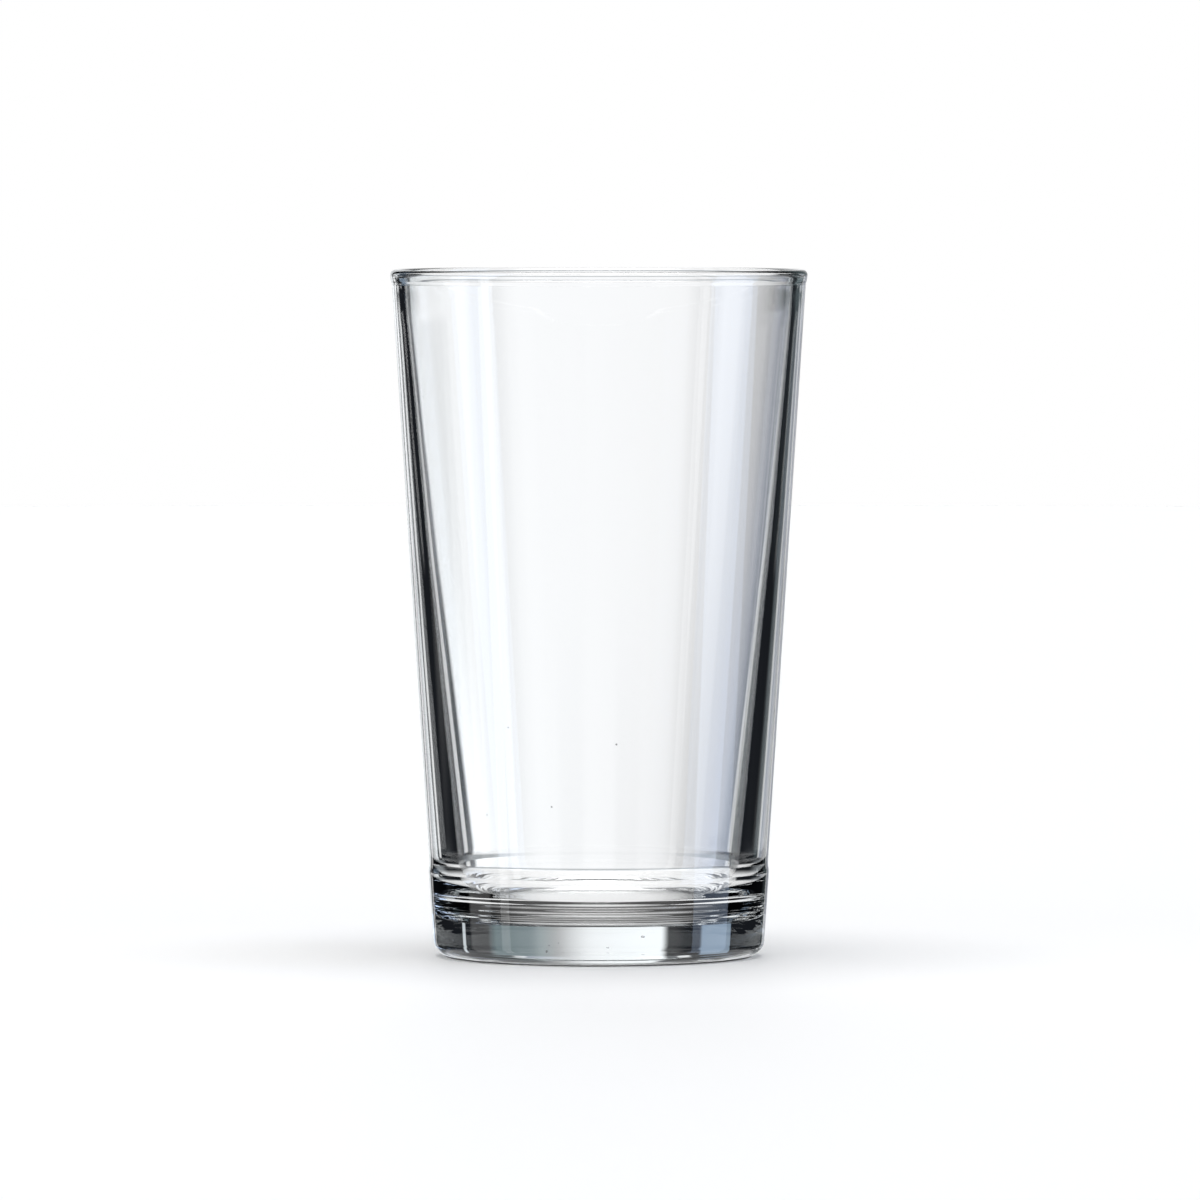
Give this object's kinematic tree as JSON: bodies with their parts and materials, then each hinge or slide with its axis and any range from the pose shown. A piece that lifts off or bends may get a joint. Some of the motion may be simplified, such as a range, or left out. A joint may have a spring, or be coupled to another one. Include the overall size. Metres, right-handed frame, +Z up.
{
  "type": "pint glass",
  "caption": "Clear conical pint glass: a tapered tumbler with a rolled rim, thickening wall, heavy base with a parting step and a shallow hollow beneath, for cold drinks.",
  "frame": {"origin": "centre of the standing ring, on the surface that the glass stands on", "axes": "+Z up along the axis of the glass, towards the rim; the glass is round, so X and Y are alike"},
  "size_m": [0.0912, 0.091, 0.1498],
  "materials": {
    "clear_glass": "clear polished soda-lime glass"
  },
  "bodies": {
    "root": {"glass_body": "clear_glass"}
  },
  "joints": []
}
